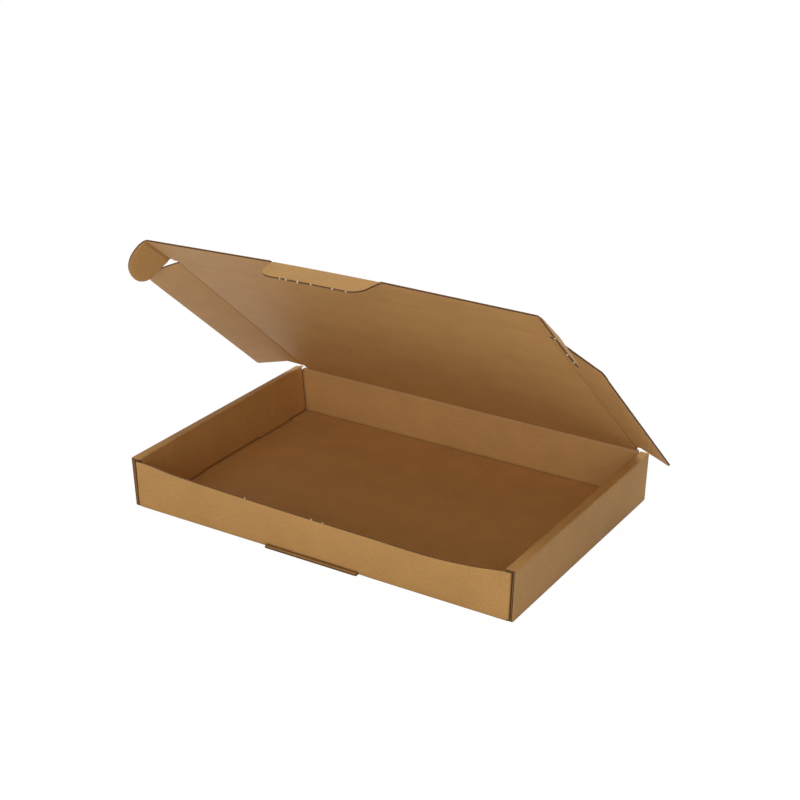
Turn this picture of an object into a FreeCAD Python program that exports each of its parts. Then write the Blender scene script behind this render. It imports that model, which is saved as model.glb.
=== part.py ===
"""A5 letterbox mailer box, folded from one die-cut sheet of thin corrugated board.

The box stands open, as it does just before it is filled.  The tray is one folded
piece: base, front wall, back wall, corner flaps and rolled-over double side walls.
The lid and its flaps are the panels that turn at the creases.

Millimetres.  +Z is up, the front wall faces -Y, and the origin is at the middle of
the base's underside.
"""
import FreeCAD, Part
import math
import os

from FreeCAD import Placement, Rotation, Vector

# ---------------------------------------------------------------- driving sizes
board = 1.5                 # thickness of the corrugated board
inside_length = 230.0       # room in the tray, left to right
inside_width = 160.0        # room in the tray, front to back
wall_height = 30.3          # from the table to the top of the side walls
wall_gap = 3.5              # space between the two layers of a side wall
wall_lean = 2.0             # degrees that a side wall's outer layer leans out
fold_radius = 0.3           # inside radius of a folded crease
crease_gap = 0.2            # slit between two panels that turn against each other

# -------------------------------------------------------------------- clearances
edge_clearance = 0.3        # between a cut edge and the face that it stops at
roll_clearance = 0.5        # front and back walls, below the rolled-over strips
flap_clearance = 0.6        # lid side flaps, inside the side walls
tuck_clearance = 0.3        # tuck flap, in front of the front wall
hinge_clearance = 0.45      # lid, beside the rounded top of the back wall

# ---------------------------------------------------------------- tray details
corner_flap_length = 36.0   # flaps of the front and back walls, inside the sides
corner_flap_bevel = 4.0     # cut off their free corners
foot_length = 32.4          # lock feet of the inner side layers, two on each side
foot_offset = 45.2          # their centres, from the middle of the box
foot_depth = 1.3            # how far they reach down into the base
slot_width = 61.0           # slot for the lock tab, low in the front wall
slot_height = 1.7
lip_reach = 2.2             # base lip under the slot, out from the front wall
lip_corner = 1.8
shoulder_width = 1.2        # notch at each end of the lid's crease

# How far the rim of the front wall bulges out, at places given as shares of half
# its length.  The wall is worn in: it leans furthest near its right end.
front_bulge = [(-1.0, 0.0), (-0.76, 2.8), (-0.28, 4.6), (0.34, 5.7),
               (0.66, 6.0), (0.87, 3.4), (1.0, 0.0)]

# ----------------------------------------------------------------- lid details
side_flap_depth = 28.0      # lid side flaps
side_flap_start = 7.0       # from the lid's hinge line to the flaps' creases
side_flap_bevel = 7.5       # slant at the flaps' hinge end
side_flap_taper = 18.0      # how far the flaps' front ends slant back
side_flap_corner = 1.5
side_flap_toe = 11.5        # out to where the front ends' slant stops, beside the ears
front_relief = 3.8          # and how far it has fallen back there
ear_reach = 22.0            # ears on the tuck flap, out from their creases
ear_start = 0.4             # from the tuck flap's crease to the ears' creases
ear_inset = 1.9             # ear creases, in from the tray's outer sides
tab_snap = 2.6              # the lock tab is this much wider than its slot, each side
tab_depth = 16.0
tab_taper = 1.7             # the tab narrows by this much on each side, half way out
tab_corner = 10.0           # length of its rounded corners along its end
tab_bow = (1.8, 1.4)        # how far those bow out, across and along the tab

# Rounded front corner of a side flap, as shares of the flap's depth and its taper: in
# from its outer edge, and along it from where the taper starts.
side_flap_round = [(0.04, 0.30), (0.16, 0.50)]

# Lobe of an ear, as shares of its reach and of the tuck flap's depth: out from its
# crease, and back from the tuck flap's free edge.  A straight run, then two arcs.
ear_lobe = [(0.16, 0.0), (0.74, 0.28), (1.0, 0.82), (0.93, 0.96), (0.74, 1.01)]

# ------------------------------------------- how far each crease is folded, degrees
lid_open = 41.7             # from closed
left_flap_fold = 17.0
right_flap_fold = 18.5
tuck_fold = 3.0
left_ear_fold = 50.0
right_ear_fold = 38.0
tab_fold = 44.0

# -------------------------------------------------------------- sizes that follow
outer_length = inside_length + 2 * (2 * board + wall_gap)
outer_width = inside_width + 2 * board
bend_outer = fold_radius + board                    # outside radius of a fold
bend_middle = fold_radius + board / 2
half_length = outer_length / 2
half_width = outer_width / 2
low_wall = wall_height - board - roll_clearance     # front wall and corner flaps
corner_face = inside_length / 2 + board + edge_clearance + board   # their outside
front_half = corner_face - bend_outer               # flat part of the front wall
hinge_y = half_width - board / 2
hinge_z = wall_height + board / 2
crease_half = inside_length / 2 - flap_clearance    # lid's side creases
lid_start = board / 2 + hinge_clearance
lid_depth = hinge_y + half_width + tuck_clearance   # hinge line to tuck crease
tuck_depth = wall_height - board - edge_clearance
tuck_half = half_length - ear_inset
tab_crease = wall_height - board - slot_height      # from the tuck flap's crease
tab_half = slot_width / 2 + tab_snap


def point(x, y, z=0.0):
    return Vector(x, y, z)


def box(low, high):
    """Box between two corners."""
    size = [b - a for a, b in zip(low, high)]
    return Part.makeBox(size[0], size[1], size[2], Vector(*low))


def outline(start, steps):
    """Closed wire from start through steps: points, or (middle, end) pairs for arcs."""
    edges = []
    here = point(*start)
    for step in steps + [start]:
        if isinstance(step[0], tuple):
            middle, end = (point(*p) for p in step)
            edges.append(Part.Arc(here, middle, end).toShape())
        else:
            end = point(*step)
            edges.append(Part.LineSegment(here, end).toShape())
        here = end
    return Part.Wire(edges)


def panel(wire):
    """Flat board with this outline, its middle on the XY plane."""
    face = Part.Face(wire)
    face.translate(Vector(0, 0, -board / 2))
    return face.extrude(Vector(0, 0, board))


def bent_section(start, heading, steps):
    """Section of a bent strip of board, in the XY plane.

    The strip's middle line starts at a point with a heading in degrees.  Each step
    is ("run", length) or ("bend", degrees to the left).
    """
    here = point(*start)
    left_edges = []
    right_edges = []

    def aside(where, angle, distance):
        turn = math.radians(angle + 90)
        return where + Vector(math.cos(turn), math.sin(turn), 0) * distance

    for kind, amount in steps:
        left = aside(here, heading, board / 2)
        right = aside(here, heading, -board / 2)
        if kind == "run":
            along = aside(Vector(0, 0, 0), heading - 90, amount)
            here = here + along
            left_edges.append(Part.LineSegment(left, left + along).toShape())
            right_edges.append(Part.LineSegment(right, right + along).toShape())
        else:
            middle = aside(here, heading, bend_middle)
            half_way = heading + amount / 2
            heading = heading + amount
            here = aside(middle, heading, -bend_middle)
            left_edges.append(Part.Arc(left, aside(middle, half_way, -fold_radius),
                                       aside(here, heading, board / 2)).toShape())
            right_edges.append(Part.Arc(right, aside(middle, half_way, -bend_outer),
                                        aside(here, heading, -board / 2)).toShape())

    first = Part.LineSegment(right_edges[0].Vertexes[0].Point,
                             left_edges[0].Vertexes[0].Point).toShape()
    last = Part.LineSegment(left_edges[-1].Vertexes[-1].Point,
                            right_edges[-1].Vertexes[-1].Point).toShape()
    return Part.Wire(Part.__sortEdges__([first, last] + left_edges + right_edges))


def swept(section, placement, length):
    """Solid that runs the section both ways from the middle, half the length each."""
    face = Part.Face(section)
    face.translate(Vector(0, 0, -length / 2))
    solid = face.extrude(Vector(0, 0, length))
    return solid.transformGeometry(placement.toMatrix())


def mirrored(shape):
    """The same shape on the box's left side."""
    return shape.mirror(Vector(0, 0, 0), Vector(1, 0, 0))


def joined(pieces):
    """One solid from pieces that share faces."""
    whole = pieces[0].fuse(pieces[1:]).removeSplitter()
    assert len(whole.Solids) == 1, "the pieces of a folded sheet must hang together"
    return whole.Solids[0]


# A section drawn with x to the right and y up stands upright in the box when it is
# turned into the XZ plane (for the sides) or the YZ plane (for the front and back).
across = Placement(Vector(0, 0, 0), Rotation(Vector(1, 0, 0), 90))
along = Placement(Vector(0, 0, 0), Rotation(Vector(0, 0, 1), 90)).multiply(across)


# ------------------------------------------------------------------------ the tray
def lock_feet(clearance, bottom, top):
    """Boxes round the right side's lock feet, or the cuts for them with a clearance."""
    inner_face = inside_length / 2
    half = foot_length / 2 + clearance
    return [box((inner_face - clearance, middle - half, bottom),
                (inner_face + board + clearance, middle + half, top))
            for middle in (-foot_offset, foot_offset)]


def slotted(sheet):
    """A sheet of the base with the cuts for the right side's lock feet."""
    return sheet.cut(Part.makeCompound(lock_feet(edge_clearance, 0, board)))


def side_wall():
    """Right side: outer layer, rolled-over strip and inner layer with its lock feet."""
    rise = 90 - wall_lean
    tilt = math.radians(rise)
    climb = (wall_height - board - 2 * bend_middle) / math.sin(tilt)
    base_end = half_length - bend_outer - climb * math.cos(tilt)
    strip = 2 * board + wall_gap - 2 * bend_outer
    start = corner_face - 2 * board
    section = bent_section((start, board / 2), 0,
                           [("run", base_end - start), ("bend", rise), ("run", climb),
                            ("bend", 180 - rise), ("run", strip), ("bend", 90)])
    shell = slotted(swept(section, across, outer_width - 2 * edge_clearance))

    inner_face = inside_length / 2
    reach = inside_width / 2 - edge_clearance
    floor = board + edge_clearance
    inner = box((inner_face, -reach, floor),
                (inner_face + board, reach, wall_height - bend_outer))
    return joined([shell, inner] + lock_feet(0, board - foot_depth, floor))


def corner_flap(end):
    """Flap at the right end of the front (-1) or back (1) wall, folded into the side."""
    section = bent_section((front_half, -half_width + board / 2), 0,
                           [("bend", 90), ("run", corner_flap_length)])
    face = Part.Face(section)
    face.translate(Vector(0, 0, board + edge_clearance))
    flap = face.extrude(Vector(0, 0, low_wall - board - edge_clearance))
    far = -half_width + bend_outer + corner_flap_length
    for z, rise in ((board + edge_clearance, 1), (low_wall, -1)):
        wedge = Part.Face(Part.makePolygon([
            point(0, far - corner_flap_bevel, z), point(0, far, z),
            point(0, far, z + rise * corner_flap_bevel),
            point(0, far - corner_flap_bevel, z)]))
        wedge = wedge.extrude(Vector(half_length, 0, 0))
        flap = flap.cut(wedge)
    if end > 0:
        flap = flap.mirror(Vector(0, 0, 0), Vector(0, 1, 0))
    return flap


def bulge_curve(setback):
    """Rim of the front wall: a smooth bulge, level with the corner folds at its ends."""
    height = low_wall - bend_outer
    points = []
    for share, out in front_bulge:
        top = bend_outer + math.sqrt(height ** 2 - out ** 2)
        points.append(Vector(share * front_half, -half_width - out + setback, top))
    curve = Part.BSplineCurve()
    curve.interpolate(Points=points, InitialTangent=Vector(1, 0, 0),
                      FinalTangent=Vector(1, 0, 0))
    return curve.toShape()


def wall_fold():
    """Rounded fold between the base and the back wall."""
    section = bent_section((half_width - bend_outer, board / 2), 0, [("bend", 90)])
    return swept(section, along, 2 * front_half)


def bulging_sheet():
    """The front wall's panel: straight at its fold, following the bulge at its rim."""
    faces = []
    rims = []
    feet = []
    for setback in (0, board):
        y = -half_width + setback
        rims.append(bulge_curve(setback))
        feet.append(Part.makeLine(point(-front_half, y, bend_outer),
                                  point(front_half, y, bend_outer)))
        faces.append(Part.makeRuledSurface(feet[-1], rims[-1]))
    faces.append(Part.makeRuledSurface(*rims))
    faces.append(Part.makeRuledSurface(*feet))
    for side in (-1, 1):
        x = side * front_half
        faces.append(Part.Face(Part.makePolygon([
            point(x, -half_width, bend_outer), point(x, -half_width + board, bend_outer),
            point(x, -half_width + board, low_wall), point(x, -half_width, low_wall),
            point(x, -half_width, bend_outer)])))
    shell = Part.makeShell(faces)
    shell.sewShape()
    return Part.makeSolid(shell.Shells[0])


def front_wall():
    """Front wall, bulging at its rim, with the lock slot and the base lip below it."""
    wall = bulging_sheet()
    fold = wall_fold().mirror(Vector(0, 0, 0), Vector(0, 1, 0))
    back_of_slot = -half_width + bend_outer
    slot = box((-slot_width / 2, -half_width - lip_reach, 0),
               (slot_width / 2, back_of_slot, board + slot_height))

    lip_half = slot_width / 2 - edge_clearance
    lip = box((-lip_half, -half_width - lip_reach, 0), (lip_half, back_of_slot, board))
    corners = [edge for edge in lip.Edges
               if edge.BoundBox.ZLength > board / 2 and edge.BoundBox.YMax < -half_width]
    return [wall.cut(slot), fold.cut(slot), lip.makeFillet(lip_corner, corners)]


def back_wall():
    """Back wall, with notched shoulders and the rounded top that the lid turns on."""
    notch = crease_half - shoulder_width
    face = Part.Face(Part.makePolygon([
        point(-front_half, 0, bend_outer), point(front_half, 0, bend_outer),
        point(front_half, 0, low_wall), point(crease_half, 0, low_wall),
        point(notch, 0, low_wall + shoulder_width), point(notch, 0, hinge_z),
        point(-notch, 0, hinge_z), point(-notch, 0, low_wall + shoulder_width),
        point(-crease_half, 0, low_wall), point(-front_half, 0, low_wall),
        point(-front_half, 0, bend_outer)]))
    face.translate(Vector(0, half_width - board, 0))
    wall = face.extrude(Vector(0, board, 0))
    bead = Part.makeCylinder(board / 2, 2 * notch, Vector(-notch, hinge_y, hinge_z),
                             Vector(1, 0, 0))
    return [wall_fold(), wall, bead]


def tray():
    """The tray, as one folded sheet."""
    half = corner_face - 2 * board
    base = box((-half, -half_width + bend_outer, 0), (half, half_width - bend_outer, board))
    base = slotted(mirrored(slotted(base)))
    right = [side_wall(), corner_flap(-1), corner_flap(1)]
    left = [mirrored(piece) for piece in right]
    return joined([base] + front_wall() + back_wall() + right + left)


# ------------------------------------------------------------------ the lid's panels
# They are drawn in the closed lid's own frame: the hinge line is the X axis, the
# lid runs towards -Y, and its inside is the face at z = -board / 2.
def lid_panel():
    """The lid's main panel, notched at both ends of its hinge line."""
    half = crease_half - crease_gap / 2
    notch = crease_half - shoulder_width
    front = -lid_depth + crease_gap / 2
    steps = [(notch, -lid_start), (half, -lid_start - shoulder_width), (half, front),
             (-half, front), (-half, -lid_start - shoulder_width)]
    return panel(outline((-notch, -lid_start), steps))


def side_flap():
    """Right side flap: slanted at the hinge, tapered and rounded at the front."""
    root = crease_half + crease_gap / 2
    tip = crease_half + side_flap_depth
    rear = -side_flap_start - side_flap_bevel
    front = -lid_depth + 2 * edge_clearance + crease_gap
    round_end = front + side_flap_taper
    r = side_flap_corner
    bow = r * (1 - math.sqrt(0.5))
    rounding = tuple((tip - side_flap_depth * inward, round_end - side_flap_taper * down)
                     for inward, down in side_flap_round)
    steps = [(root + side_flap_bevel, rear), (tip - r, rear),
             ((tip - bow, rear - bow), (tip, rear - r)), (tip, round_end), rounding,
             (root + side_flap_toe, front + front_relief), (root, front)]
    return panel(outline((root, -side_flap_start), steps))


def tuck_flap():
    """Tuck flap, with a step in its free edge where the lock tab is creased."""
    half = tuck_half - crease_gap / 2
    near = -lid_depth - crease_gap / 2
    far = -lid_depth - tuck_depth
    step = -lid_depth - tab_crease + crease_gap / 2
    notch = tab_half + crease_gap
    steps = [(half, near), (half, far), (notch, far), (notch, step), (-notch, step),
             (-notch, far), (-half, far)]
    return panel(outline((-half, near), steps))


def ear():
    """Right ear of the tuck flap, a rounded lobe."""
    root = tuck_half + crease_gap / 2
    far = -lid_depth - tuck_depth
    lobe = [(root + ear_reach * out, far + tuck_depth * back) for out, back in ear_lobe]
    steps = [(root, far), lobe[0], (lobe[1], lobe[2]), (lobe[3], lobe[4])]
    return panel(outline((root, -lid_depth - ear_start), steps))


def lock_tab():
    """Lock tab: slightly tapered, with rounded corners."""
    root = -lid_depth - tab_crease - crease_gap / 2
    end = root - tab_depth
    waist = tab_half - tab_taper
    flat = tab_half - tab_corner
    middle = root - tab_depth / 2
    round_x = (waist + flat) / 2 + tab_bow[0]
    round_y = (middle + end) / 2 - tab_bow[1]
    steps = [(waist, middle), ((round_x, round_y), (flat, end)), (-flat, end),
             ((-round_x, round_y), (-waist, middle)), (-tab_half, root)]
    return panel(outline((tab_half, root), steps))


def folded(shape, degrees, crease_x, crease_y, axis):
    """The shape turned about a crease line in the board's inside face."""
    copy = shape.copy()
    copy.rotate(Vector(crease_x, crease_y, -board / 2), axis, degrees)
    return copy


def opened(shape):
    """The shape moved from the closed lid's frame to the open lid in the box."""
    copy = shape.copy()
    copy.rotate(Vector(0, 0, 0), Vector(1, 0, 0), -lid_open)
    copy.translate(Vector(0, hinge_y, hinge_z))
    return copy


def on_tuck(shape):
    """The same for a shape that also turns with the tuck flap."""
    return opened(folded(shape, tuck_fold, 0, -lid_depth, Vector(1, 0, 0)))


def folded_ear(side, degrees):
    """An ear on one side (1 right, -1 left), folded in."""
    shape = ear() if side > 0 else mirrored(ear())
    return on_tuck(folded(shape, degrees, side * tuck_half, 0, Vector(0, side, 0)))


def folded_side_flap(side, degrees):
    """A lid side flap on one side, folded in."""
    shape = side_flap() if side > 0 else mirrored(side_flap())
    return opened(folded(shape, degrees, side * crease_half, 0, Vector(0, side, 0)))


tab_line = -lid_depth - tab_crease
parts = {
    "tray": tray(),
    "lid_panel": opened(lid_panel()),
    "left_side_flap": folded_side_flap(-1, left_flap_fold),
    "right_side_flap": folded_side_flap(1, right_flap_fold),
    "tuck_flap": on_tuck(tuck_flap()),
    "left_ear": folded_ear(-1, left_ear_fold),
    "right_ear": folded_ear(1, right_ear_fold),
    "lock_tab": on_tuck(folded(lock_tab(), tab_fold, 0, tab_line, Vector(1, 0, 0))),
}

os.makedirs("parts", exist_ok=True)
for name, shape in parts.items():
    shape.exportStep("parts/" + name + ".step")
    print(name, round(shape.Volume, 1), shape.isValid(), len(shape.Solids))
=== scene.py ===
"""A letterbox mailer box of thin corrugated board, standing open.

The box is one die-cut sheet, folded up.  Each panel is built here as real board:
two paper liners with a fluted sheet between them, open at every cut edge.  A spot of
the sheet is known by its place (u, v) in the flat sheet, before folding: u runs along
the flutes, and v across them.
"""
import math

import bpy
from mathutils import Matrix, Vector


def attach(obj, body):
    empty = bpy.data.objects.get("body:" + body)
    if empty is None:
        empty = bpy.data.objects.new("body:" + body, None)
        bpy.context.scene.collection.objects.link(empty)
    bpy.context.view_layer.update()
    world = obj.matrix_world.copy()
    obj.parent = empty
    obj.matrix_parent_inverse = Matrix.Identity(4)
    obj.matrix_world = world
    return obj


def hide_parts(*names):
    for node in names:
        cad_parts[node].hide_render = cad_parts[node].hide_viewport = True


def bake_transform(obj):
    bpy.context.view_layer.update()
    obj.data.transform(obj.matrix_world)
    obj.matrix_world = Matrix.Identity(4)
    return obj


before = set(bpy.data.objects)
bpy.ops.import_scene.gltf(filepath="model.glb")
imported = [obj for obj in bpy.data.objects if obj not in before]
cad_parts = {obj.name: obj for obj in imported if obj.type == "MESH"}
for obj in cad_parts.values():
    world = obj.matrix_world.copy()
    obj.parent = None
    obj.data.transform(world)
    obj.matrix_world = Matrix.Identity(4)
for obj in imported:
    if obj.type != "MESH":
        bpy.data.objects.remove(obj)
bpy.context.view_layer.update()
mm = 0.001

# ----------------------------------------------------------------------- the base
# The middle of the sheet.  It has four slots for the lock feet of the side walls, and a
# small lip left standing out under the front wall's lock slot.  Like the whole box it is
# E-flute board, 1.5 mm thick: two smooth kraft liners glued to a rougher fluted core.
outer_brown = (0.765, 0.582, 0.350)
inner_brown = (0.755, 0.572, 0.345)
fleck_brown = (0.50, 0.34, 0.18)
cut_brown = (0.56, 0.42, 0.28)
core_brown = (0.36, 0.24, 0.13)
# Creases are darkened towards this brown: a little for the crushed fibres' own tone, and
# mostly as painted shade in the crease's groove.
crease_tone_and_shade_brown = (0.42, 0.25, 0.11)
# Painted shade: near other faces, in slits, folds and corners, the paper's colour is
# darkened towards this brown by ambient occlusion, standing in for the shade that falls
# there.
painted_shade_brown = (0.22, 0.11, 0.05)
painted_shade_depth = 1.9 * mm           # how near another face has to be, to darken the paper
painted_shade_share = 0.62
crease_tone_and_shade_share, crease_shade_share_inside = 0.15, 0.75      # how far a crease's darkening shows: outside a little, for its crushed fibres and painted shade, inside much more, as painted shade of the groove
outer_side, core_side, inner_side = 0.1, 0.2, 0.3   # so that no two papers match
paper_tone = 0.33
paper_roughness, fibre_roughness = 0.5, 0.14
fibre_depth = 0.06 * mm         # of the relief, with the finer grain's share of it
grain_share = 0.6
# Patterns in the paper: stretch, scale, detail, and weight in how light it is.
paper_patterns = {"mottle": ((1, 1, 1), 60, 2, 0.22), "blotch": ((1, 1, 1), 14, 2, 0.14),
                  "fibre": ((6, 1, 1), 420, 4, 0.32), "tooth": ((1, 1, 1), 800, 3, 0.38),
                  "grain": ((1, 1, 1), 1900, 2, 0.28)}
fleck_pattern = ((1, 2.2, 1), 900, 1)
fleck_stops = [(0.66, 0), (0.76, 1)]    # where in that pattern a fleck starts and is full


class Value:
    """A value in a tree of nodes.  Sums and products of values add Math nodes."""

    def __init__(self, nodes, socket):
        self.nodes = nodes
        self.socket = socket

    def of(self, name):
        """Another output of the same node."""
        return Value(self.nodes, self.socket.node.outputs[name])

    def maths(self, operation, *others):
        return self.nodes.add("ShaderNodeMath", {"operation": operation},
                              dict(enumerate((self,) + others)))

    def __add__(self, other):
        return self.maths("ADD", other)

    def __sub__(self, other):
        return self.maths("SUBTRACT", other)

    def __rsub__(self, other):
        return self.nodes.add("ShaderNodeMath", {"operation": "SUBTRACT"},
                              {0: other, 1: self})

    def __mul__(self, other):
        return self.maths("MULTIPLY", other)

    def __truediv__(self, other):
        return self.maths("DIVIDE", other)

    __radd__ = __add__
    __rmul__ = __mul__


class Nodes:
    """The nodes of a material or of a geometry tree."""

    def __init__(self, tree):
        self.tree = tree

    def add(self, kind, settings=None, values=None, output=0):
        """A node of this kind, its settings made first, then its sockets' values."""
        node = self.tree.nodes.new(kind)
        for name, setting in (settings or {}).items():
            if name == "stops":
                for element, (place, shade) in zip(node.color_ramp.elements, setting):
                    element.position = place
                    element.color = (shade, shade, shade, 1)
            else:
                setattr(node, name, setting)
        for name, value in (values or {}).items():
            self.feed(node.inputs[name], value)
        return Value(self, node.outputs[output]) if node.outputs else node

    def feed(self, socket, value):
        """Links a value, or each of several, to a socket, or sets a plain one."""
        for each in value if isinstance(value, list) else [value]:
            if isinstance(each, Value):
                self.tree.links.new(each.socket, socket)
            else:
                socket.default_value = each


def linear(colour):
    """A colour as paint is named on screen, as the light that it sends back."""
    return tuple(((c + 0.055) / 1.055) ** 2.4 for c in colour) + (1,)


def kraft(name, brown, flecks, relief, gloss):
    """Kraft paper: mottled, streaked with fibres, with painted shade deep in folds and
    slits.
    """
    material = bpy.data.materials.new(name)
    material.use_nodes = True
    nodes = Nodes(material.node_tree)
    shader = material.node_tree.nodes["Principled BSDF"]
    sheet = nodes.add("ShaderNodeAttribute", {"attribute_name": "paper"}, output="Vector")

    def mixed(share, first, second):
        return nodes.add("ShaderNodeMix", {"data_type": "RGBA"},
                         {0: share, 6: first, 7: second}, output=2)

    def cloud(stretch, scale, detail):
        spread = nodes.add("ShaderNodeVectorMath", {"operation": "MULTIPLY"},
                           {0: sheet, 1: stretch})
        return nodes.add("ShaderNodeTexNoise", {"normalize": True},
                         {"Vector": spread, "Scale": scale, "Detail": detail})

    clouds = {}
    shade = paper_tone
    for pattern, (stretch, scale, detail, weight) in paper_patterns.items():
        clouds[pattern] = cloud(stretch, scale, detail)
        shade = shade + clouds[pattern] * weight
    fleck = nodes.add("ShaderNodeValToRGB", {"stops": fleck_stops},
                      {"Fac": cloud(*fleck_pattern)})
    toned = nodes.add("ShaderNodeVectorMath", {"operation": "SCALE"},
                      {0: linear(brown)[:3], "Scale": shade})
    colour = mixed(fleck * flecks, toned, linear(fleck_brown))
    fold = nodes.add("ShaderNodeAttribute", {"attribute_name": "fold"}, output="Fac")
    height = nodes.add("ShaderNodeSeparateXYZ", {}, {0: sheet}, output="Z")
    inside = height.maths("GREATER_THAN", (core_side + inner_side) / 2)
    # Creases darken: a little for the crushed fibres, and on the inside much more, as
    # painted shade of the groove.
    colour = mixed(fold * (crease_tone_and_shade_share + inside * (crease_shade_share_inside - crease_tone_and_shade_share)),
                   colour, linear(crease_tone_and_shade_brown))
    # Painted shade: where other faces are near, ambient occlusion darkens the base
    # colour, so slits and folds look shaded.
    open_air = nodes.add("ShaderNodeAmbientOcclusion", {"samples": 6},
                         {"Distance": painted_shade_depth}, output="AO")
    colour = mixed((1 - open_air) * painted_shade_share, colour, linear(painted_shade_brown))
    nodes.feed(shader.inputs["Base Color"], colour)
    nodes.feed(shader.inputs["Roughness"],
               paper_roughness + clouds["fibre"] * fibre_roughness)
    shader.inputs["Specular IOR Level"].default_value = gloss
    bump = nodes.add("ShaderNodeBump", {},
                     {"Height": clouds["fibre"] + clouds["grain"] * grain_share,
                      "Distance": fibre_depth, "Strength": relief})
    nodes.feed(shader.inputs["Normal"], bump)
    return material


outer_paper = kraft("outer kraft liner", outer_brown, 0.35, 0.5, 0.14)
inner_paper = kraft("inner kraft liner", inner_brown, 0.35, 0.5, 0.42)
cut_paper = kraft("cut edge of kraft board", cut_brown, 0.5, 0.8, 0.2)
core_paper = kraft("fluted core", core_brown, 0.4, 0.7, 0.2)

board = 1.5 * mm
flute_pitch = 3.2 * mm
liner = 0.24 * mm
core = 0.18 * mm
washboard = 0.03 * mm           # how far the flutes show through the liners
rows_per_flute = 8
pinch = 0.30                    # share of its thickness that the die takes at a cut
pinch_width = 0.5 * mm
sharp_turn = math.radians(35)   # edges that turn more than this look sharp


def with_sockets(tree, inputs, output):
    """Gives a geometry tree its named inputs and output.  Returns its nodes."""
    for name, kind in inputs:
        tree.interface.new_socket(name=name, in_out="INPUT",
                                  socket_type="NodeSocket" + kind)
    tree.interface.new_socket(name=output, in_out="OUTPUT",
                              socket_type="NodeSocketGeometry")
    nodes = Nodes(tree)
    return nodes, nodes.add("NodeGroupInput")


def board_tree():
    """Board from a sheet's middle surface, with the core, the liners or both."""
    tree = bpy.data.node_groups.new("corrugated board", "GeometryNodeTree")
    nodes, given = with_sockets(
        tree, (("Sheet", "Geometry"), ("Board thickness", "Float"),
               ("Liner thickness", "Float"), ("Core thickness", "Float"),
               ("Flute pitch", "Float"), ("Washboard", "Float"), ("Liners", "Bool"),
               ("Core", "Bool")), "Board")

    def attribute(name, kind):
        return nodes.add("GeometryNodeInputNamedAttribute", {"data_type": kind},
                         {"Name": name})

    out = attribute("out", "FLOAT_VECTOR")
    press = attribute("press", "FLOAT")
    blank = attribute("blank", "FLOAT_VECTOR")
    v = nodes.add("ShaderNodeSeparateXYZ", {}, {0: blank}, output="Y")
    wave = (v * (2 * math.pi) / given.of("Flute pitch")).maths("SINE")

    def along_out(height):
        return nodes.add("ShaderNodeVectorMath", {"operation": "SCALE"},
                         {0: out, "Scale": height})

    def plate(height, thickness, side, paper):
        """A closed plate of paper on the sheet, from this height out."""
        under = nodes.add("GeometryNodeSetPosition", {},
                          {"Geometry": given.of("Sheet"), "Offset": along_out(height)})
        over = nodes.add("GeometryNodeExtrudeMesh", {},
                         {"Mesh": under, "Offset": out, "Offset Scale": thickness,
                          "Individual": False})
        edge = over.of("Side")
        under = nodes.add("GeometryNodeFlipFaces", {}, {"Mesh": under})
        both = nodes.add("GeometryNodeJoinGeometry", {}, {"Geometry": [over, under]})
        both = nodes.add("GeometryNodeSetMaterial", {},
                         {"Geometry": both, "Material": paper})
        both = nodes.add("GeometryNodeSetMaterial", {},
                         {"Geometry": both, "Selection": edge, "Material": cut_paper})
        both = nodes.add("GeometryNodeMergeByDistance", {},
                         {"Geometry": both, "Distance": 0.001 * mm})
        shift = nodes.add("ShaderNodeVectorMath", {"operation": "ADD"},
                          {0: blank, 1: (0, 0, side)})
        return nodes.add("GeometryNodeStoreNamedAttribute",
                         {"data_type": "FLOAT_VECTOR", "domain": "POINT"},
                         {"Geometry": both, "Name": "paper", "Value": shift})

    half = given.of("Board thickness") * press * 0.5
    dip = given.of("Washboard")
    outer = plate(half - given.of("Liner thickness") - dip * (1 - wave) * 0.5,
                  given.of("Liner thickness"), outer_side, outer_paper)
    inner = plate(dip * (1 + wave) * 0.5 - half, given.of("Liner thickness"),
                  inner_side, inner_paper)
    liners = nodes.add("GeometryNodeJoinGeometry", {}, {"Geometry": [outer, inner]})
    swing = half - given.of("Liner thickness") - given.of("Core thickness") * 0.6
    flutes = plate(swing * wave - given.of("Core thickness") * 0.5,
                   given.of("Core thickness"), core_side, core_paper)
    chosen = [nodes.add("GeometryNodeSwitch", {"input_type": "GEOMETRY"},
                        {"Switch": given.of(name), "True": geometry})
              for name, geometry in (("Liners", liners), ("Core", flutes))]
    whole = nodes.add("GeometryNodeJoinGeometry", {}, {"Geometry": chosen})
    whole = nodes.add("GeometryNodeRealizeInstances", {}, {"Geometry": whole})
    nodes.add("NodeGroupOutput", {}, {"Board": whole})
    return tree


corrugated_board = board_tree()


def rows(*breaks):
    """Places across the flutes, several to a flute, with one at each break."""
    step = flute_pitch / rows_per_flute
    low, high = min(breaks), max(breaks)
    found = set(breaks)
    for k in range(math.ceil(low / step), math.floor(high / step) + 1):
        if min(abs(k * step - b) for b in breaks) > step / 4:
            found.add(k * step)
    return sorted(found)


def near_edges(low, high, count=3):
    """Places from low to high, closer together in the last millimetre at each end."""
    end = min(1.0 * mm, (high - low) / 4)
    inner = [low + end + (high - low - 2 * end) * k / count for k in range(count + 1)]
    return [low, low + 0.4 * end] + inner + [high - 0.4 * end, high]


def to_segment(u, v, cut):
    """Distance of a spot of the flat sheet from a straight cut."""
    (au, av), (bu, bv) = cut
    du, dv = bu - au, bv - av
    share = ((u - au) * du + (v - av) * dv) / (du * du + dv * dv)
    share = min(1, max(0, share))
    return math.hypot(u - au - share * du, v - av - share * dv)


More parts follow.
